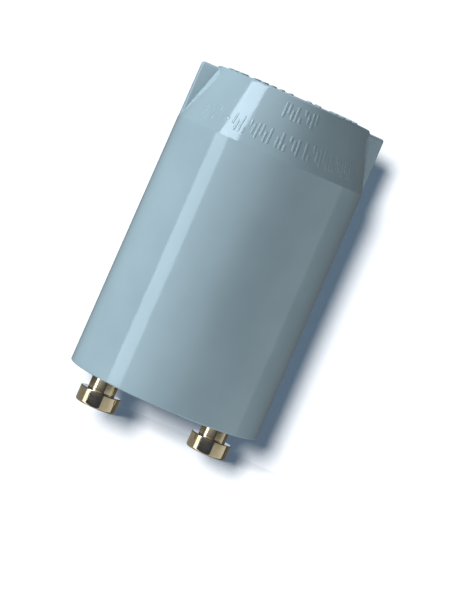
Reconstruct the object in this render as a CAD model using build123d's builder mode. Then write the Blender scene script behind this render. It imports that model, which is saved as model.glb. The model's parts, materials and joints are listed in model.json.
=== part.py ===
from build123d import *
from math import radians, tan
import os

# Glow starter for a fluorescent lamp, in millimetres.
# It stands on its two contact pins. The origin is on the can's axis, at the
# plane of the pin ends. +Z runs up the can, and the pins and wings lie along X.

# Contact pins
pin_spacing = 12.7
pin_head_radius = 2.25
pin_head_height = 1.7
pin_head_edge = 0.25
pin_head_shoulder_edge = 0.1
pin_neck_radius = 1.5
pin_shank_radius = 1.15
pin_bore_radius = 0.6
pin_bore_depth = 2.2
rivet_radius = 1.75
rivet_height = 0.55
rivet_edge = 0.25

# Can
rim_height = 3.55
rim_radius = 10.6
rim_edge = 0.15
can_length = 27.9
can_draft = 0.31
can_wall = 1.15

# Coned grip end and its wings
cone_height = 6.45
cone_angle = 16.05
crown_rise = 0.18
crown_edge = 0.3
crown_wall = 1.2
wing_tip_thickness = 0.8
wing_taper = 22
wing_drop = 0.25
wing_edge = 0.3

# Base disc and its seat in the can
disc_recess = 0.5
disc_thickness = 2.0
disc_edge = 0.2
seat_width = 0.35
disc_clearance = 0.08
bead_height = 0.35
bead_depth = 0.2
hollow_cone_drop = 0.6
key_width = 2.2
key_depth = 0.7
key_clearance = 0.1

# Terminal tags
tag_thickness = 0.4
tag_eye_radius = 2.1
tag_width = 2.6
tag_post_inset = 3.15
tag_post_height = 4.2
tag_bend_inside = 0.25
tag_clearance = 0.1
rivet_clearance = 0.02

# Glow bulb
bulb_radius = 4.6
bulb_wall = 0.6
bulb_offset = 2.4
bulb_headroom = 0.3
bulb_foot_round = 2.2
tip_radius = 1.1
tip_length = 2.6
tip_end_radius = 0.45
tip_end_round = 0.225
tip_land = 0.1
pinch_width = 7.0
pinch_thickness = 2.4
pinch_height = 4.6
pinch_edge = 0.5
pinch_rise_inside = 0.8
pinch_rise_over_tags = 1.6
seal_clearance = 0.01

# Wires and electrodes
bulb_lead_radius = 0.3
bulb_lead_pitch = 3.6
bulb_lead_reach = 2.4
bulb_lead_bend = 0.8
bulb_lead_elbow_drop = 0.7
solder_overlap = 2.4
wire_clearance = 0.02
strip_thickness = 0.3
strip_width = 2.4
strip_headroom = 7.0
strip_free_end_rise = 4.1
strip_turn_radius = 0.55
electrode_radius = 0.4
electrode_shortfall = 0.9
electrode_tip_round = 0.36
electrode_rise = 0.6

# Interference capacitor with its leads and sleeves
capacitor_side_inset = 0.3
capacitor_thickness = 3.6
capacitor_height = 9.5
capacitor_edge = 1.1
capacitor_foot_edge = 0.5
capacitor_gap = 0.7
capacitor_lead_radius = 0.25
capacitor_lead_pitch = 5.0
capacitor_lead_drop = 4.6
capacitor_lead_bend = 0.9
capacitor_lead_straight = 1.6
sleeve_wall = 0.25
sleeve_length = 3.2
sleeve_gap = 0.3
sleeve_clearance = 0.03

# Solder
wire_offset = 0.65
solder_length = 1.9
solder_width = 2.3
solder_depth = 1.0
solder_edge = 0.4


# Places that follow from the sizes above
border_height = rim_height + can_length
edge_height = border_height + cone_height
crown_height = edge_height + crown_rise
wing_height = edge_height - wing_drop
border_radius = rim_radius - can_length * tan(radians(can_draft))
crown_radius = border_radius - cone_height * tan(radians(cone_angle))
disc_bottom = rim_height + disc_recess
disc_top = disc_bottom + disc_thickness
bore_radius = rim_radius - can_wall
hollow_top = edge_height - crown_wall
hollow_top_radius = crown_radius - can_wall
hollow_border = border_height - hollow_cone_drop
hollow_border_radius = border_radius - can_wall
pocket_radius = bore_radius + seat_width
disc_radius = pocket_radius - disc_clearance
rivet_seat = disc_top + tag_thickness
tag_post_face = pin_spacing / 2 - tag_post_inset
pinch_bottom = disc_top + tag_post_height + pinch_rise_over_tags
pinch_top = pinch_bottom + pinch_height
bulb_bottom = pinch_top - pinch_rise_inside - bulb_wall
bulb_top = hollow_top - bulb_headroom - tip_length
bulb_shoulder_round = bulb_radius - tip_radius - tip_land
capacitor_width = 2 * (bulb_radius - capacitor_side_inset)
capacitor_y = bulb_offset - bulb_radius - capacitor_gap - capacitor_thickness / 2
capacitor_bottom = pinch_bottom + capacitor_lead_drop


def arc_radius(half_chord, rise):
    """Radius of the arc that rises by rise over half_chord."""
    return (half_chord**2 + rise**2) / (2 * rise)


def corner(sketch, x, y):
    """The vertex of a sketch that lies nearest to (x, y)."""
    return sketch.vertices().sort_by_distance((x, y))[0]


def save(part, name):
    """Label a finished piece and write it under its own name."""
    part.label = name
    export_step(part, f"parts/{name}.step")


os.makedirs("parts", exist_ok=True)


# Wings: the can's drafted envelope carried on up past the cone, cut to two wedges
# that grow thinner from the axis out to their tips.
envelope_top_radius = rim_radius - (wing_height - rim_height) * tan(radians(can_draft))
wing_half_tip = wing_tip_thickness / 2
wing_half_middle = wing_half_tip + rim_radius * tan(radians(wing_taper))
with BuildPart() as wings:
    with BuildSketch(Plane.XZ):
        with BuildLine():
            Polyline(
                (0, border_height),
                (border_radius, border_height),
                (envelope_top_radius, wing_height),
                (0, wing_height),
                close=True,
            )
        make_face()
    revolve(axis=Axis.Z)
    with BuildSketch(Plane.XY.offset(border_height)):
        with BuildLine():
            Polyline(
                (rim_radius, wing_half_tip),
                (0, wing_half_middle),
                (-rim_radius, wing_half_tip),
                (-rim_radius, -wing_half_tip),
                (0, -wing_half_middle),
                (rim_radius, -wing_half_tip),
                close=True,
            )
        make_face()
    extrude(amount=wing_height - border_height, mode=Mode.INTERSECT)
    edges_by_height = wings.edges().group_by(Axis.Z)
    fillet(edges_by_height[1] + edges_by_height[2], wing_edge)


# Housing: the outer form first, then the hollow, then the two keys for the disc.
with BuildPart() as housing:
    with BuildSketch(Plane.XZ) as outer_profile:
        with BuildLine():
            Polyline(
                (0, crown_height),
                (0, rim_height),
                (rim_radius, rim_height),
                (border_radius, border_height),
                (crown_radius, edge_height),
            )
            RadiusArc(
                (0, crown_height),
                (crown_radius, edge_height),
                arc_radius(crown_radius, crown_rise),
            )
        make_face()
        fillet(corner(outer_profile, rim_radius, rim_height), rim_edge)
        fillet(corner(outer_profile, crown_radius, edge_height), crown_edge)
    revolve(axis=Axis.Z)
    add(wings.part)
    with BuildSketch(Plane.XZ):
        with BuildLine():
            Polyline(
                (0, rim_height),
                (pocket_radius, rim_height),
                (pocket_radius, disc_bottom - bead_height),
                (pocket_radius - bead_depth, disc_bottom - bead_height / 2),
                (pocket_radius, disc_bottom),
                (pocket_radius, disc_top),
                (bore_radius, disc_top),
                (hollow_border_radius, hollow_border),
                (hollow_top_radius, hollow_top),
                (0, hollow_top),
                close=True,
            )
        make_face()
    revolve(axis=Axis.Z, mode=Mode.SUBTRACT)
    with BuildSketch(Plane.XY.offset(disc_bottom)):
        with PolarLocations(pocket_radius, 2, start_angle=90):
            Rectangle(2 * key_depth, key_width)
    extrude(amount=disc_thickness)


# Base disc, keyed to the can so that the pins line up with the wings.
with BuildPart() as base_disc:
    with BuildSketch(Plane.XY.offset(disc_bottom)):
        Circle(disc_radius)
        with PolarLocations(pocket_radius, 2, start_angle=90):
            Rectangle(2 * (key_depth + key_clearance), key_width + 2 * key_clearance, mode=Mode.SUBTRACT)
        with GridLocations(pin_spacing, 0, 2, 1):
            Circle(pin_shank_radius + rivet_clearance, mode=Mode.SUBTRACT)
    extrude(amount=disc_thickness)
    rim_arcs = base_disc.edges().filter_by(lambda e: e.geom_type == GeomType.CIRCLE and e.radius > bore_radius)
    chamfer(rim_arcs, disc_edge)
save(base_disc.part, "base_disc")
save(housing.part, "housing")


def contact_pin(x):
    """Mushroom head, neck against the disc, hollow shank riveted over the tag."""
    shank_top = rivet_seat + rivet_height
    with BuildPart() as pin:
        with BuildSketch(Plane.XZ) as profile:
            with BuildLine():
                Polyline(
                    (0, 0),
                    (pin_head_radius, 0),
                    (pin_head_radius, pin_head_height),
                    (pin_neck_radius, pin_head_height),
                    (pin_neck_radius, disc_bottom),
                    (pin_shank_radius, disc_bottom),
                    (pin_shank_radius, rivet_seat),
                    (rivet_radius, rivet_seat),
                    (rivet_radius, shank_top),
                    (pin_bore_radius, shank_top),
                    (pin_bore_radius, shank_top - pin_bore_depth),
                    (0, shank_top - pin_bore_depth),
                    close=True,
                )
            make_face()
            fillet(corner(profile, pin_head_radius, 0), pin_head_edge)
            fillet(corner(profile, pin_head_radius, pin_head_height), pin_head_shoulder_edge)
            fillet(corner(profile, rivet_radius, shank_top), rivet_edge)
        revolve(axis=Axis.Z)
    return Pos(x, 0, 0) * pin.part


for side, x in (("left", -pin_spacing / 2), ("right", pin_spacing / 2)):
    save(contact_pin(x), f"contact_pin_{side}")


# Terminal tag, drawn for the right pin: an eye under the rivet, a tongue towards
# the axis, and a post bent up from it that the wires are soldered to.
with BuildPart() as right_tag:
    eye_x = pin_spacing / 2
    tongue_middle = (eye_x + tag_post_face) / 2
    with BuildSketch(Plane.XY.offset(disc_top)):
        with Locations((eye_x, 0)):
            Circle(tag_eye_radius)
        with Locations((tongue_middle, 0)):
            Rectangle(eye_x - tag_post_face, tag_width)
        with Locations((eye_x, 0)):
            Circle(pin_shank_radius + rivet_clearance, mode=Mode.SUBTRACT)
        Circle(bore_radius - tag_clearance, mode=Mode.INTERSECT)
    extrude(amount=tag_thickness)
    with BuildSketch(Plane.XY.offset(disc_top)):
        with Locations((tag_post_face + tag_thickness / 2, 0)):
            Rectangle(tag_thickness, tag_width)
    extrude(amount=tag_post_height)
    bend_edges = right_tag.edges().filter_by(Axis.Y)
    outer_bend = bend_edges.sort_by_distance((tag_post_face, 0, disc_top))[0]
    fillet(outer_bend, tag_bend_inside + tag_thickness)
    bend_edges = right_tag.edges().filter_by(Axis.Y)
    inner_bend = bend_edges.sort_by_distance((tag_post_face + tag_thickness, 0, rivet_seat))[0]
    fillet(inner_bend, tag_bend_inside)
left_tag = mirror(right_tag.part, about=Plane.YZ)
save(right_tag.part, "terminal_tag_right")
save(left_tag, "terminal_tag_left")


def wire(points, bend, radius):
    """A round wire along straight runs joined by tangent arcs."""
    with BuildPart() as piece:
        with BuildLine() as route:
            FilletPolyline(*points, radius=bend)
        with BuildSketch(Plane(origin=route.line @ 0, z_dir=route.line % 0)):
            Circle(radius)
        sweep()
    return piece.part


def bulb_lead_route(sign):
    """From the tag's post, out to the pinch and up through it into the bulb."""
    post_x = sign * (tag_post_face - bulb_lead_radius - wire_clearance)
    pinch_x = sign * bulb_lead_pitch / 2
    post_top = disc_top + tag_post_height
    return [
        (post_x, wire_offset, post_top - solder_overlap),
        (post_x, wire_offset, post_top),
        (pinch_x, bulb_offset, pinch_bottom - bulb_lead_elbow_drop),
        (pinch_x, bulb_offset, pinch_top + bulb_lead_reach),
    ]


def capacitor_lead_route(sign):
    """From the tag's post, forward and up to the foot of the capacitor."""
    post_x = sign * (tag_post_face - capacitor_lead_radius - wire_clearance)
    capacitor_x = sign * capacitor_lead_pitch / 2
    post_top = disc_top + tag_post_height
    return [
        (post_x, -wire_offset, post_top - solder_overlap),
        (post_x, -wire_offset, post_top - solder_overlap + capacitor_lead_straight),
        (capacitor_x, capacitor_y, capacitor_bottom - capacitor_lead_drop + sleeve_gap),
        (capacitor_x, capacitor_y, capacitor_bottom),
    ]


sides = {"left": -1, "right": 1}
bulb_leads = {}
capacitor_leads = {}
for side, sign in sides.items():
    bulb_leads[side] = wire(bulb_lead_route(sign), bulb_lead_bend, bulb_lead_radius)
    capacitor_leads[side] = wire(capacitor_lead_route(sign), capacitor_lead_bend, capacitor_lead_radius)
    save(bulb_leads[side], f"bulb_lead_{side}")
    save(capacitor_leads[side], f"capacitor_lead_{side}")


# Glow bulb: a blown tube with a domed end and exhaust tip, closed at its foot by a
# flat pinch that the two leads pass through.
bulb_plane = Plane(origin=(0, bulb_offset, 0), x_dir=(1, 0, 0), z_dir=(0, -1, 0))
bulb_axis = Axis((0, bulb_offset, 0), (0, 0, 1))
with BuildPart() as glow_bulb:
    with BuildSketch(bulb_plane) as glass_outside:
        with BuildLine():
            Polyline(
                (0, bulb_bottom),
                (bulb_radius, bulb_bottom),
                (bulb_radius, bulb_top),
                (tip_radius, bulb_top),
                (tip_end_radius, bulb_top + tip_length),
                (0, bulb_top + tip_length),
                close=True,
            )
        make_face()
        fillet(corner(glass_outside, bulb_radius, bulb_bottom), bulb_foot_round)
        fillet(corner(glass_outside, bulb_radius, bulb_top), bulb_shoulder_round)
        fillet(corner(glass_outside, tip_end_radius, bulb_top + tip_length), tip_end_round)
    revolve(axis=bulb_axis)
    with BuildSketch(bulb_plane) as glass_inside:
        with BuildLine():
            Polyline(
                (0, bulb_bottom + bulb_wall),
                (bulb_radius - bulb_wall, bulb_bottom + bulb_wall),
                (bulb_radius - bulb_wall, bulb_top - bulb_wall),
                (0, bulb_top - bulb_wall),
                close=True,
            )
        make_face()
        inside_corner = corner(glass_inside, bulb_radius - bulb_wall, bulb_bottom + bulb_wall)
        fillet(inside_corner, bulb_foot_round - bulb_wall)
        inside_corner = corner(glass_inside, bulb_radius - bulb_wall, bulb_top - bulb_wall)
        fillet(inside_corner, bulb_shoulder_round - bulb_wall)
    revolve(axis=bulb_axis, mode=Mode.SUBTRACT)
    with BuildSketch(Plane.XY.offset(pinch_bottom)):
        with Locations((0, bulb_offset)):
            RectangleRounded(pinch_width, pinch_thickness, pinch_edge)
    extrude(amount=pinch_height)
    with BuildSketch(Plane.XY.offset(pinch_bottom)):
        with Locations((0, bulb_offset)):
            with GridLocations(bulb_lead_pitch, 0, 2, 1):
                Circle(bulb_lead_radius + seal_clearance)
    extrude(amount=pinch_height, mode=Mode.SUBTRACT)
save(glow_bulb.part, "glow_bulb")


# Bimetal strip: a hairpin whose long leg is welded to the left lead, and whose free
# leg swings over to the fixed electrode when it warms.
strip_weld_face = -bulb_lead_pitch / 2 + bulb_lead_radius + wire_clearance
long_leg_x = strip_weld_face + strip_thickness / 2
free_leg_x = long_leg_x + 2 * strip_turn_radius
strip_bottom = pinch_top + electrode_rise
strip_turn = bulb_top - strip_headroom
with BuildPart() as bimetal_strip:
    with BuildSketch(bulb_plane):
        with BuildLine():
            Line((long_leg_x, strip_bottom), (long_leg_x, strip_turn))
            ThreePointArc(
                (long_leg_x, strip_turn),
                (long_leg_x + strip_turn_radius, strip_turn + strip_turn_radius),
                (free_leg_x, strip_turn),
            )
            Line((free_leg_x, strip_turn), (free_leg_x, pinch_top + strip_free_end_rise))
            offset(amount=strip_thickness / 2)
        make_face()
    extrude(amount=strip_width / 2, both=True)
save(bimetal_strip.part, "bimetal_strip")


# Fixed electrode: a round post welded beside the right lead, with a rounded tip.
electrode_x = bulb_lead_pitch / 2 - bulb_lead_radius - wire_clearance - electrode_radius
with BuildPart() as fixed_electrode:
    with BuildSketch(Plane.XY.offset(strip_bottom)):
        with Locations((electrode_x, bulb_offset)):
            Circle(electrode_radius)
    extrude(amount=strip_turn - electrode_shortfall - strip_bottom)
    fillet(fixed_electrode.edges().sort_by(Axis.Z)[-1], electrode_tip_round)
save(fixed_electrode.part, "fixed_electrode")


# Interference capacitor: a dipped block that hangs on its two leads beside the bulb.
with BuildPart() as capacitor:
    with BuildSketch(Plane.XY.offset(capacitor_bottom)):
        with Locations((0, capacitor_y)):
            RectangleRounded(capacitor_width, capacitor_thickness, capacitor_edge)
    extrude(amount=capacitor_height)
    fillet(capacitor.faces().sort_by(Axis.Z)[-1].edges(), capacitor_edge)
    fillet(capacitor.faces().sort_by(Axis.Z)[0].edges(), capacitor_foot_edge)
save(capacitor.part, "capacitor")


def lead_sleeve(sign):
    """Insulating sleeve on the upright run of a capacitor lead."""
    sleeve_bore = capacitor_lead_radius + sleeve_clearance
    with BuildPart() as sleeve:
        with BuildSketch(Plane.XY.offset(capacitor_bottom - sleeve_gap - sleeve_length)):
            with Locations((sign * capacitor_lead_pitch / 2, capacitor_y)):
                Circle(sleeve_bore + sleeve_wall)
                Circle(sleeve_bore, mode=Mode.SUBTRACT)
        extrude(amount=sleeve_length)
    return sleeve.part


def solder_joint(sign, wires):
    """Solder that fills the corner between a tag's post and its two wires."""
    post_x = sign * tag_post_face
    middle = disc_top + tag_post_height - solder_overlap / 2
    with BuildPart() as solder:
        with BuildSketch(Plane.YZ.offset(post_x)):
            with Locations((0, middle)):
                RectangleRounded(solder_width, solder_length, solder_edge)
        extrude(amount=-sign * solder_depth)
        faces_outwards = solder.faces().sort_by(Axis((0, 0, 0), (sign, 0, 0)))
        fillet(faces_outwards[0].edges(), solder_edge)
        for piece in wires:
            add(piece, mode=Mode.SUBTRACT)
    return solder.part


for side, sign in sides.items():
    save(lead_sleeve(sign), f"lead_sleeve_{side}")
    save(solder_joint(sign, [bulb_leads[side], capacitor_leads[side]]), f"solder_joint_{side}")
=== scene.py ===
import json
import math

import bmesh
import bpy
from mathutils import Matrix, Vector
from mathutils.bvhtree import BVHTree


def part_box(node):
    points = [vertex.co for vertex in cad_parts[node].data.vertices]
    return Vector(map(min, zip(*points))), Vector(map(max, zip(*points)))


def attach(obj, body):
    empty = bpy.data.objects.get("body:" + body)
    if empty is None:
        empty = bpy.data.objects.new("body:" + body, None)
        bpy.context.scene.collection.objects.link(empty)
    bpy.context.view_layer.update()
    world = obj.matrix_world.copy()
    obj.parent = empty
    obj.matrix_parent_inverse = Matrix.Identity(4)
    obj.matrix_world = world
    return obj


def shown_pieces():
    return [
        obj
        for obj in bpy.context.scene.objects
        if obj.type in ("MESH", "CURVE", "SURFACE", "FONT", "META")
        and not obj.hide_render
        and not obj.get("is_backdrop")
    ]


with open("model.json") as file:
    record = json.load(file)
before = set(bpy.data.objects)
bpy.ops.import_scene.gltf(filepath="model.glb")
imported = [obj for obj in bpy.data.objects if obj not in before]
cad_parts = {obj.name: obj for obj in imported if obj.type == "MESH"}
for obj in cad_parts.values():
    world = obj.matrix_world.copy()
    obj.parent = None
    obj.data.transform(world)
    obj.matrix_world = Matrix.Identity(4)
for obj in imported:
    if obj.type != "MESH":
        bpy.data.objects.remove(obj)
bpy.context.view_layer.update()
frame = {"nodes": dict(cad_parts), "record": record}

nodes = frame["nodes"]
scene = bpy.context.scene
MM = 0.001

# The photograph's camera. The can leans clockwise in the picture because the camera is rolled.
CAMERA_PLACE = Vector((-38.08, -288.47, 31.90)) * MM
CAMERA_TURN = math.radians(8.063)
CAMERA_PITCH = math.radians(-3.109)
CAMERA_ROLL = math.radians(23.6)
LENS = 166.785

# Sizes of the can, from the frame
can_low, can_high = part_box("housing")
RIM_RADIUS = can_high.x
RIM_HEIGHT = can_low.z
CROWN_TOP = can_high.z

# Level axes of the photograph's view: towards the camera, and to the camera's right
TO_CAMERA = Vector((-math.sin(CAMERA_TURN), -math.cos(CAMERA_TURN), 0))
TO_RIGHT = Vector((math.cos(CAMERA_TURN), -math.sin(CAMERA_TURN), 0))
UP = Vector((0, 0, 1))
OBJECT_MIDDLE = UP * (CROWN_TOP / 2)


def direction(azimuth, elevation):
    """Unit vector from the object, with azimuth 0 towards the camera and 90 to its right, in degrees."""
    turn = math.radians(azimuth)
    rise = math.radians(elevation)
    level = TO_CAMERA * math.cos(turn) + TO_RIGHT * math.sin(turn)
    return level * math.cos(rise) + UP * math.sin(rise)


# Node trees

def node_tree(owner):
    """An empty node tree of a material, world or lamp, with a function that adds a node to it."""
    owner.use_nodes = True
    tree = owner.node_tree
    tree.nodes.clear()

    def add(kind, values=(), **settings):
        node = tree.nodes.new(kind)
        for name, value in settings.items():
            setattr(node, name, value)
        for socket, value in dict(values).items():
            if isinstance(value, bpy.types.NodeSocket):
                tree.links.new(value, node.inputs[socket])
            else:
                node.inputs[socket].default_value = value
        return node

    return add


def colour(red, green, blue):
    """A colour written as 0 to 255 in sRGB, as linear values."""
    def linear(value):
        value /= 255
        return value / 12.92 if value <= 0.04045 else ((value + 0.055) / 1.055) ** 2.4
    return (linear(red), linear(green), linear(blue), 1)


def blend(add, factor, low, high):
    """A colour between low and high. Inputs 6 and 7 and output 2 are the Mix node's own for colours."""
    return add("ShaderNodeMix", {0: factor, 6: low, 7: high}, data_type="RGBA").outputs[2]


def spread(add, value, from_low, from_high, to_low, to_high):
    """value carried from one range to another, and held inside it."""
    values = {0: value, 1: from_low, 2: from_high, 3: to_low, 4: to_high}
    return add("ShaderNodeMapRange", values).outputs[0]


def noise(add, place, scale, detail=3.0, roughness=0.5):
    """Soft noise between 0 and 1."""
    values = {"Vector": place, "Scale": scale, "Detail": detail, "Roughness": roughness}
    return add("ShaderNodeTexNoise", values).outputs["Fac"]


def edge_wear(add, sharp, flat):
    """1 along outer edges, 0 on flat stretches and on faces that look straight up."""
    surface = add("ShaderNodeNewGeometry").outputs
    edge = spread(add, surface["Pointiness"], flat, sharp, 0.0, 1.0)
    upward = add("ShaderNodeSeparateXYZ", {0: surface["Normal"]}).outputs["Z"]
    sloping = spread(add, upward, 0.97, 0.995, 1.0, 0.0)
    return add("ShaderNodeMath", {0: edge, 1: sloping}, operation="MULTIPLY").outputs[0]


def new_material(name):
    """A material, the function that adds nodes to it, and the place on its object, for patterns."""
    material = bpy.data.materials.new(name)
    add = node_tree(material)
    return material, add, add("ShaderNodeTexCoord").outputs["Object"]


def finish_material(add, shader):
    """Makes a shader the material's surface."""
    add("ShaderNodeOutputMaterial", {"Surface": shader.outputs[0]})


def housing_plastic():
    """Glossy moulded plastic: nearly even colour, a trace of flow marks, edges rubbed a little paler."""
    material, add, place = new_material("housing_plastic_look")
    cloud = spread(add, noise(add, place, 160, 2), 0.35, 0.65, 0.0, 1.0)
    body = blend(add, cloud, colour(138, 162, 173), colour(143, 167, 178))
    worn = edge_wear(add, 0.66, 0.57)
    rub = add("ShaderNodeMath", {0: worn, 1: spread(add, noise(add, place, 900), 0.4, 0.7, 0.1, 0.5)},
              operation="MULTIPLY").outputs[0]
    skin = blend(add, rub, body, colour(170, 190, 198))
    rough = spread(add, noise(add, place, 420, 4), 0.3, 0.7, 0.07, 0.11)
    ripple = add("ShaderNodeBump", {"Strength": 0.05, "Distance": 0.0004,
                                    "Height": noise(add, place, 260, 1)})
    grain = add("ShaderNodeBump", {"Strength": 0.06, "Distance": 0.00004,
                                   "Height": noise(add, place, 5200, 2), "Normal": ripple.outputs[0]})
    finish_material(add, add("ShaderNodeBsdfPrincipled", {
        "Base Color": skin, "Roughness": rough, "Normal": grain.outputs[0], "IOR": 1.5}))
    return material


GRAIN_SCALE = 7000
DRAWN_SCALE = 9000
UNSTRETCHED = (1, 1, 1)


def metal(name, pale, dark, scale, rough_low, rough_high, relief=0.08, drawn=UNSTRETCHED):
    """Bare metal: tarnish in patches, roughness that varies, and a fine grain, which drawn stretches
    into rings or lines along the axes where it is small."""
    material, add, place = new_material(name)
    patches = spread(add, noise(add, place, scale, 4, 0.6), 0.35, 0.7, 0.0, 1.0)
    skin = blend(add, patches, pale, dark)
    rough = spread(add, noise(add, place, scale * 3, 3), 0.3, 0.7, rough_low, rough_high)
    stretched = add("ShaderNodeMapping", {"Vector": place, "Scale": drawn}).outputs[0]
    grain = noise(add, stretched, GRAIN_SCALE if drawn == UNSTRETCHED else DRAWN_SCALE, 2)
    bump = add("ShaderNodeBump", {"Strength": relief, "Distance": 0.00002, "Height": grain})
    finish_material(add, add("ShaderNodeBsdfPrincipled", {
        "Base Color": skin, "Roughness": rough, "Normal": bump.outputs[0], "Metallic": 1.0}))
    return material


def dull(name, pale, dark, scale, rough_low, rough_high, bump_depth=0.00003):
    """A non-metal with a mottled colour and a fine grain."""
    material, add, place = new_material(name)
    mottle = noise(add, place, scale, 5, 0.6)
    skin = blend(add, spread(add, mottle, 0.3, 0.7, 0.0, 1.0), pale, dark)
    rough = spread(add, noise(add, place, scale * 2, 3), 0.3, 0.7, rough_low, rough_high)
    bump = add("ShaderNodeBump", {"Strength": 0.4, "Distance": bump_depth,
                                  "Height": noise(add, place, scale * 6, 3)})
    finish_material(add, add("ShaderNodeBsdfPrincipled", {
        "Base Color": skin, "Roughness": rough, "Normal": bump.outputs[0]}))
    return material


def glass():
    """Clear blown glass with faint waves."""
    material, add, place = new_material("bulb_glass_look")
    wave = add("ShaderNodeBump", {"Strength": 0.15, "Distance": 0.0002,
                                  "Height": noise(add, place, 300, 1)})
    tint = blend(add, noise(add, place, 200, 1), colour(240, 246, 246), colour(232, 242, 242))
    rough = spread(add, noise(add, place, 900, 2), 0.3, 0.7, 0.01, 0.03)
    finish_material(add, add("ShaderNodeBsdfPrincipled", {
        "Base Color": tint, "Roughness": rough, "Normal": wave.outputs[0],
        "Transmission Weight": 1.0, "IOR": 1.5}))
    return material


plastic = housing_plastic()
looks = {
    "housing_plastic": plastic,
    "pin_brass": metal("pin_brass_look", colour(232, 220, 188), colour(218, 202, 162), 700, 0.03, 0.05,
                       relief=0.015, drawn=(0.02, 0.02, 1)),
    "tag_brass": metal("tag_brass_look", colour(214, 190, 128), colour(196, 168, 104), 900, 0.2, 0.32),
    "bimetal": metal("bimetal_look", colour(190, 186, 176), colour(168, 162, 150), 1100, 0.25, 0.38),
    "electrode_nickel": metal("electrode_nickel_look", colour(196, 193, 186), colour(178, 174, 166), 1100,
                              0.22, 0.34, drawn=(1, 1, 0.04)),
    "lead_wire": metal("lead_wire_look", colour(208, 206, 202), colour(186, 184, 180), 1300, 0.18, 0.3),
    "solder": metal("solder_look", colour(204, 205, 208), colour(178, 180, 184), 1500, 0.16, 0.34,
                    relief=0.2),
    "base_laminate": dull("base_laminate_look", colour(62, 60, 58), colour(44, 43, 42), 700, 0.45, 0.6),
    "capacitor_coating": dull("capacitor_coating_look", colour(176, 104, 42), colour(156, 86, 30), 500,
                              0.18, 0.3),
    "sleeve_plastic": dull("sleeve_plastic_look", colour(226, 222, 206), colour(214, 208, 190), 900,
                           0.5, 0.65),
    "bulb_glass": glass(),
}
for part in frame["record"]["subparts"]:
    for slot in nodes[part["node"]].material_slots:
        slot.material = looks[part["material_slot"]]


# Raised marks. Each mark is a low ridge whose foot is sunk a little into the surface that it stands on.

def shell_of(node):
    """Search tree of a CAD node's surface."""
    mesh = nodes[node].data
    return BVHTree.FromPolygons([v.co for v in mesh.vertices], [p.vertices for p in mesh.polygons])


can_shell = shell_of("housing")
MARK_FOOT = 0.03 * MM
RIDGE_END_STEPS = 5
RIDGE_FOOT_SHARE = 1.25
RIDGE_PROFILE = ((1.0, 0.25), (0.72, 0.8), (0.4, 1.0))


def cone_point(azimuth, height):
    """The cone's surface at an azimuth in radians, and its outward direction there."""
    out = direction(math.degrees(azimuth), 0)
    hit, normal, _, _ = can_shell.ray_cast(out * (2 * RIM_RADIUS) + UP * height, -out)
    return hit, (normal if normal.dot(out) > 0 else -normal)


def crown_point(azimuth, radius):
    """The crown's surface at an azimuth in radians, and its upward direction there."""
    out = direction(math.degrees(azimuth), 0)
    hit, normal, _, _ = can_shell.ray_cast(out * radius + UP * (2 * CROWN_TOP), -UP)
    return hit, (normal if normal.z > 0 else -normal)


def ridge(mesh, surface, start, end, width, height):
    """A ridge with round ends between two points (x along the row, y up it), laid on surface(x, y).
    Its foot is a little wider than it, and its sides follow the profile: shares of width and height."""
    start, end = Vector(start), Vector(end)
    along = (end - start).normalized() if (end - start).length > 0 else Vector((0, 1))
    across = Vector((along.y, -along.x))
    outline = []
    for middle, turn in ((end, 0), (start, math.pi)):
        for i in range(RIDGE_END_STEPS + 1):
            angle = turn + math.pi * i / RIDGE_END_STEPS
            outline.append((middle, across * math.cos(angle) + along * math.sin(angle)))
    levels = [(RIDGE_FOOT_SHARE, -MARK_FOOT)]
    levels += [(across_share, up_share * height) for across_share, up_share in RIDGE_PROFILE]
    rings = []
    for share, lift in levels:
        ring = []
        for middle, out in outline:
            point = middle + out * (share * width / 2)
            place, normal = surface(point.x, point.y)
            ring.append(mesh.verts.new(place + normal * lift))
        rings.append(ring)
    for low, high in zip(rings, rings[1:]):
        for i in range(len(low)):
            j = (i + 1) % len(low)
            mesh.faces.new((low[i], low[j], high[j], high[i]))
    mesh.faces.new(rings[-1])
    mesh.faces.new(tuple(reversed(rings[0])))


def piece_from(mesh, name):
    """Adds a smooth piece of the housing, made from a bmesh."""
    bmesh.ops.recalc_face_normals(mesh, faces=mesh.faces)
    data = bpy.data.meshes.new(name)
    mesh.to_mesh(data)
    mesh.free()
    data.shade_smooth()
    data.materials.append(plastic)
    piece = bpy.data.objects.new(name, data)
    scene.collection.objects.link(piece)
    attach(piece, "root")


# Raised marks on the cone: rows of plain ticks, some full height and some part of it, with a dash
STROKE_WIDTH = 0.27 * MM
STROKE_HEIGHT = 0.03 * MM
TICK_PITCH = 0.47 * MM
TICKS = ((0.0, 1.0), (0.35, 1.0), (0.0, 0.6), (0.0, 1.0), (0.0, 0.3), (0.7, 1.0), (0.2, 0.8))
UPPER_ROW = (35.6 * MM, 37.0 * MM)
UPPER_AZIMUTHS = (-2, 20)
LOWER_ROW = (32.45 * MM, 34.0 * MM)
LOWER_AZIMUTHS = ((-53, -38), (-28, -4), (1, 14), (19, 56))
DASH_AZIMUTH = -33
DASH_LENGTH = 0.5 * MM


def cone_row(row):
    """The cone's radius at the foot of a row, and the cone's surface as a function of x and height."""
    foot, _ = cone_point(0.0, row[0])
    radius = math.hypot(foot.x, foot.y)

    def surface(x, y):
        return cone_point(x / radius, y)

    return radius, surface


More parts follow.
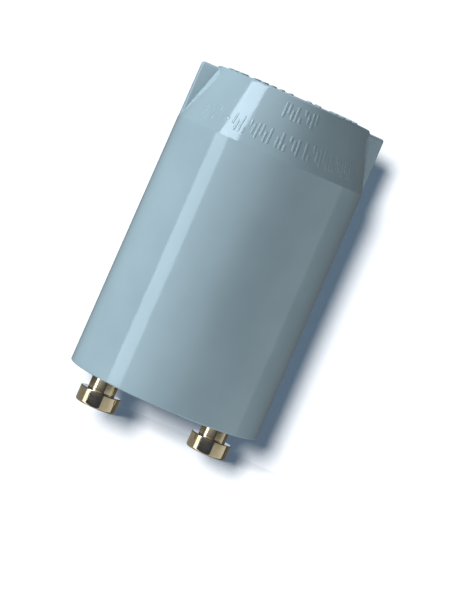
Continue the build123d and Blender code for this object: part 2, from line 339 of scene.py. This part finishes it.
def tick_group(mesh, row, azimuths, start=0):
    """Ticks side by side round the cone between two azimuths, in degrees."""
    low, high = row
    radius, surface = cone_row(row)
    first, last = (math.radians(azimuth) * radius for azimuth in azimuths)
    count = max(1, round((last - first) / TICK_PITCH))
    for i in range(count + 1):
        x = first + (last - first) * i / count
        foot, top = (low + share * (high - low) for share in TICKS[(start + i) % len(TICKS)])
        ridge(mesh, surface, (x, foot), (x, top), STROKE_WIDTH, STROKE_HEIGHT)


def dash(mesh, row, azimuth):
    """A short level ridge half way up a row."""
    radius, surface = cone_row(row)
    x = math.radians(azimuth) * radius
    y = sum(row) / 2
    ridge(mesh, surface, (x - DASH_LENGTH / 2, y), (x + DASH_LENGTH / 2, y), STROKE_WIDTH, STROKE_HEIGHT)


cone_marks = bmesh.new()
tick_group(cone_marks, UPPER_ROW, UPPER_AZIMUTHS)
for start, azimuths in enumerate(LOWER_AZIMUTHS):
    tick_group(cone_marks, LOWER_ROW, azimuths, start)
dash(cone_marks, LOWER_ROW, DASH_AZIMUTH)
piece_from(cone_marks, "cone_marks")

# Marks round the near edge of the crown, no higher than the crown's middle
CROWN_MARK_PITCH = 1.05 * MM
CROWN_MARK_INNER = 7.3 * MM
CROWN_MARK_OUTER = 8.15 * MM
CROWN_MARK_WIDTH = 0.55 * MM
CROWN_MARK_HEIGHT = 0.125 * MM
CROWN_MARK_TURN = 62
CROWN_MARK_RUNS = (3, 5, 2, 6)


def crown_surface(x, y):
    """The crown's surface at x, measured round the marks' outer ends, and at radius y."""
    return crown_point(x / CROWN_MARK_OUTER, y)


def crown_mark_places():
    """Even steps round the crown's edge, in runs of marks with one step left bare between two runs."""
    reach = math.radians(CROWN_MARK_TURN) * CROWN_MARK_OUTER
    x = -reach
    run = 0
    left_in_run = CROWN_MARK_RUNS[run]
    while x < reach:
        if left_in_run:
            yield x
            left_in_run -= 1
        else:
            run += 1
            left_in_run = CROWN_MARK_RUNS[run % len(CROWN_MARK_RUNS)]
        x += CROWN_MARK_PITCH


crown_marks = bmesh.new()
for x in crown_mark_places():
    ridge(crown_marks, crown_surface, (x, CROWN_MARK_INNER), (x, CROWN_MARK_OUTER),
          CROWN_MARK_WIDTH, CROWN_MARK_HEIGHT)
piece_from(crown_marks, "crown_marks")


# Stage: a milky see-through floor under the pins and a white wall close behind the can, which leans
# back a little and goes on below the floor. Both show only from their front, neither lights the
# object, and each has a lamp of its own for the object's shadow.
FLOOR_GAP = 0.02 * MM
WALL_GAP = 0.1 * MM
WALL_LEAN = 0.05
STAGE_REACH = 400 * MM
FLOOR_CLEARNESS = 0.85
SHADOW_GLOW = colour(64, 86, 107)
PAPER = ((0.3, 0.3, 0.3, 1), (0.31, 0.31, 0.31, 1))
SQUARE = ((-1, -1), (1, -1), (1, 1), (-1, 1))


def stage_surface(name, corners, lamp_collection, clearness=0.0):
    """A sheet of glowing paper, seen by the camera alone, that only the lamps of its collection light.
    Clearness is how much of what is behind it shows through its front; its back is clear."""
    material, add, place = new_material(name + "_look")
    paper = blend(add, noise(add, place, 30, 2), *PAPER)
    lit = add("ShaderNodeBsdfDiffuse", {"Color": paper}).outputs[0]
    glow = add("ShaderNodeEmission", {"Color": SHADOW_GLOW, "Strength": 1.0}).outputs[0]
    front = add("ShaderNodeAddShader", {0: lit, 1: glow}).outputs[0]
    clear = add("ShaderNodeBsdfTransparent").outputs[0]
    behind = add("ShaderNodeNewGeometry").outputs["Backfacing"]
    see_through = spread(add, behind, 0.0, 1.0, clearness, 1.0)
    finish_material(add, add("ShaderNodeMixShader", {0: see_through, 1: front, 2: clear}))
    data = bpy.data.meshes.new(name)
    data.from_pydata(corners, [], [(0, 1, 2, 3)])
    data.materials.append(material)
    surface = bpy.data.objects.new(name, data)
    scene.collection.objects.link(surface)
    lamp_collection.objects.link(surface)
    surface.visible_diffuse = False
    surface.visible_glossy = False
    surface.visible_transmission = False
    surface.visible_shadow = False
    surface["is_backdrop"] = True


floor_only = bpy.data.collections.new("floor_only")
wall_only = bpy.data.collections.new("wall_only")
object_only = bpy.data.collections.new("object_only")
floor_level = -UP * FLOOR_GAP
stage_surface("floor", [floor_level + Vector((x, y, 0)) * STAGE_REACH for x, y in SQUARE],
              floor_only, FLOOR_CLEARNESS)
behind_rim = -TO_CAMERA * (RIM_RADIUS + WALL_GAP) + UP * RIM_HEIGHT
wall_rise = UP - TO_CAMERA * WALL_LEAN
stage_surface("wall", [behind_rim + (TO_RIGHT * x + wall_rise * z) * STAGE_REACH for x, z in SQUARE],
              wall_only)
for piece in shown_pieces():
    object_only.objects.link(piece)


def hang_lamp(lamp, receivers, side):
    """Adds a lamp that shines from one side, a direction, on a collection's objects alone."""
    holder = bpy.data.objects.new(lamp.name, lamp)
    holder.rotation_mode = "QUATERNION"
    holder.rotation_quaternion = side.to_track_quat("Z", "Y")
    holder.light_linking.receiver_collection = receivers
    scene.collection.objects.link(holder)
    return holder


def sun(name, receivers, azimuth, elevation, strength, spread_angle):
    """A parallel lamp for the stage."""
    lamp = bpy.data.lights.new(name, "SUN")
    lamp.energy = strength
    lamp.angle = spread_angle
    hang_lamp(lamp, receivers, direction(azimuth, elevation))


def softbox(name, azimuth, elevation, distance, width, height, power, tint=(1.0, 1.0, 1.0)):
    """A soft rectangular lamp that shines on the object and faces its middle."""
    lamp = bpy.data.lights.new(name, "AREA")
    lamp.shape = "RECTANGLE"
    lamp.size = width
    lamp.size_y = height
    lamp.energy = power
    lamp.color = tint
    side = direction(azimuth, elevation)
    holder = hang_lamp(lamp, object_only, side)
    holder.location = OBJECT_MIDDLE + side * distance
    holder.visible_glossy = False


sun("wall_shadow_lamp", wall_only, azimuth=-12.6, elevation=10, strength=10.0, spread_angle=0.2)
sun("floor_shadow_lamp", floor_only, azimuth=-20, elevation=16, strength=37.8, spread_angle=0.25)
softbox("key_lamp", azimuth=-74, elevation=25, distance=0.9, width=0.35, height=0.65, power=12.6)
softbox("low_lamp", azimuth=26, elevation=-33, distance=0.9, width=0.4, height=0.3, power=4.2,
        tint=(1.0, 0.95, 0.94))
softbox("foot_lamp", azimuth=34, elevation=-60, distance=0.062, width=0.02, height=0.02, power=0.006)
softbox("back_lamp", azimuth=180, elevation=40, distance=0.9, width=0.5, height=0.5, power=9.0)


# Studio cards: what the gloss on the object reflects. They are parts of an upright cylinder, in
# three rows, each between two elevations in degrees: what the cone, the can and the pins reflect
# towards the photograph's camera. A low card at the back is what the tops of the pin heads reflect,
# and a round card closes the cylinder below.
ROOM_RADIUS = 1.0
CARD_STEP = 4.0
CONE_ROW = (9, 50)
CAN_ROW = (-5.75, 9)
PIN_ROW = (-80, -5.75)
SHOULDER_ROW = (4, 8)
SHOULDER_RADIUS = 0.98 * ROOM_RADIUS
COOL = (0.86, 1.0, 1.15, 1)
NEUTRAL = (1, 1, 1, 1)
PIN_SHADE = (0.75, 0.9, 1.5, 1)
SHOULDER_TINT = (0.9, 1.0, 1.3, 1)
BELOW_GLOW = 0.4
BELOW_SIDES = 24


def card_material(tint):
    """A glow of one tint, as strong as the mesh's own glow attribute says."""
    material = bpy.data.materials.new("card_look")
    add = node_tree(material)
    glow = add("ShaderNodeAttribute", attribute_name="glow").outputs["Fac"]
    finish_material(add, add("ShaderNodeEmission", {"Color": tint, "Strength": glow}))
    material.cycles.emission_sampling = "NONE"
    return material


def reflected_only(name, data, glows, tint):
    """A glowing card, one glow for each corner of its mesh, that only reflections see."""
    data.attributes.new("glow", "FLOAT", "POINT").data.foreach_set("value", glows)
    data.materials.append(card_material(tint))
    piece = bpy.data.objects.new(name, data)
    scene.collection.objects.link(piece)
    piece.visible_camera = False
    piece.visible_diffuse = False
    piece.visible_transmission = False
    piece.visible_shadow = False
    piece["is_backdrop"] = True


def card(name, row, first, last, first_glow, last_glow, tint=NEUTRAL, radius=ROOM_RADIUS):
    """A card between two azimuths in degrees, seen by reflections alone, whose glow runs from one to
    the other side."""
    z_low, z_high = (radius * math.tan(math.radians(elevation)) for elevation in row)
    count = max(2, math.ceil((last - first) / CARD_STEP))
    corners = []
    glows = []
    for i in range(count + 1):
        share = i / count
        out = direction(first + (last - first) * share, 0) * radius
        corners += [out + UP * z_low, out + UP * z_high]
        glows += [first_glow + (last_glow - first_glow) * share] * 2
    faces = [(2 * i, 2 * i + 1, 2 * i + 3, 2 * i + 2) for i in range(count)]
    data = bpy.data.meshes.new(name)
    data.from_pydata(corners, [], faces)
    reflected_only(name, data, glows, tint)


def round_card(name, elevation, glow):
    """A level round card across the cylinder, where its wall has an elevation in degrees."""
    middle = UP * (ROOM_RADIUS * math.tan(math.radians(elevation)))
    corners = [middle + direction(360 * i / BELOW_SIDES, 0) * ROOM_RADIUS for i in range(BELOW_SIDES)]
    data = bpy.data.meshes.new(name)
    data.from_pydata(corners, [], [tuple(range(BELOW_SIDES))])
    reflected_only(name, data, [glow] * BELOW_SIDES, NEUTRAL)


card("cone_left_card", CONE_ROW, -180, -70, 0.15, 0.1)
card("cone_strip_card", CONE_ROW, -70, -43.5, 7.5, 7.5, COOL)
card("cone_front_card", CONE_ROW, -43.5, 24, 0.45, 0.13)
card("cone_right_card", CONE_ROW, 24, 104, 0.06, 0.1)
card("cone_back_card", CONE_ROW, 104, 180, 0.04, 0.14)
card("can_left_card", CAN_ROW, -180, -69.9, 0.08, 0.12)
card("can_strip_card", CAN_ROW, -69.9, -51.6, 3.95, 3.95, COOL)
card("can_front_card", CAN_ROW, -51.6, 24, 0.6, 0.03)
card("can_dark_card", CAN_ROW, 24, 60, 0.06, 0.11)
card("can_right_card", CAN_ROW, 60, 104, 0.1, 0.58)
card("can_back_card", CAN_ROW, 104, 180, 0.09, 0.1)
card("pin_left_card", PIN_ROW, -180, -78.5, 0.3, 0.26)
card("pin_strip_card", PIN_ROW, -78.5, -57, 1.7, 1.7)
card("pin_dark_card", PIN_ROW, -57, 24, 0.055, 0.06, PIN_SHADE)
card("pin_right_card", PIN_ROW, 24, 102, 0.4, 0.66)
card("pin_back_card", PIN_ROW, 102, 180, 0.08, 0.2)
card("shoulder_card", SHOULDER_ROW, 173, 187, 0.6, 0.6, SHOULDER_TINT, SHOULDER_RADIUS)
round_card("below_card", PIN_ROW[0], BELOW_GLOW)


# World: white behind everything for the camera, in gloss and through glass, and a soft light that is
# a little stronger from below, as from a white table.
LIGHT_FROM_BELOW = 0.2
LIGHT_FROM_ABOVE = 0.12
world = bpy.data.worlds.new("studio")
scene.world = world
add = node_tree(world)
rays = add("ShaderNodeLightPath").outputs
straight = add("ShaderNodeMath", {0: rays["Is Camera Ray"], 1: rays["Is Glossy Ray"]}, operation="ADD")
seen = add("ShaderNodeMath", {0: straight.outputs[0], 1: rays["Is Transmission Ray"]},
           operation="ADD", use_clamp=True)
height = add("ShaderNodeSeparateXYZ", {0: add("ShaderNodeTexCoord").outputs["Generated"]}).outputs["Z"]
ambient = spread(add, height, -1.0, 1.0, LIGHT_FROM_BELOW, LIGHT_FROM_ABOVE)
soft = add("ShaderNodeBackground", {"Color": (1, 1, 1, 1), "Strength": ambient})
white = add("ShaderNodeBackground", {"Color": (1, 1, 1, 1), "Strength": 1.0})
both = add("ShaderNodeMixShader", {0: seen.outputs[0], 1: soft.outputs[0], 2: white.outputs[0]})
add("ShaderNodeOutputWorld", {"Surface": both.outputs[0]})

# Camera
forward = (-TO_CAMERA) * math.cos(CAMERA_PITCH) + UP * math.sin(CAMERA_PITCH)
level_up = TO_RIGHT.cross(forward)
right = TO_RIGHT * math.cos(CAMERA_ROLL) + level_up * math.sin(CAMERA_ROLL)
up = level_up * math.cos(CAMERA_ROLL) - TO_RIGHT * math.sin(CAMERA_ROLL)
lens = bpy.data.cameras.new("photo_camera")
lens.lens = LENS
lens.sensor_width = 36
lens.clip_start = 0.01
lens.clip_end = 10
camera = bpy.data.objects.new("photo_camera", lens)
camera.matrix_world = Matrix.Translation(CAMERA_PLACE) @ Matrix((right, up, -forward)).transposed().to_4x4()
scene.collection.objects.link(camera)
scene.camera = camera

scene.view_settings.view_transform = "Standard"
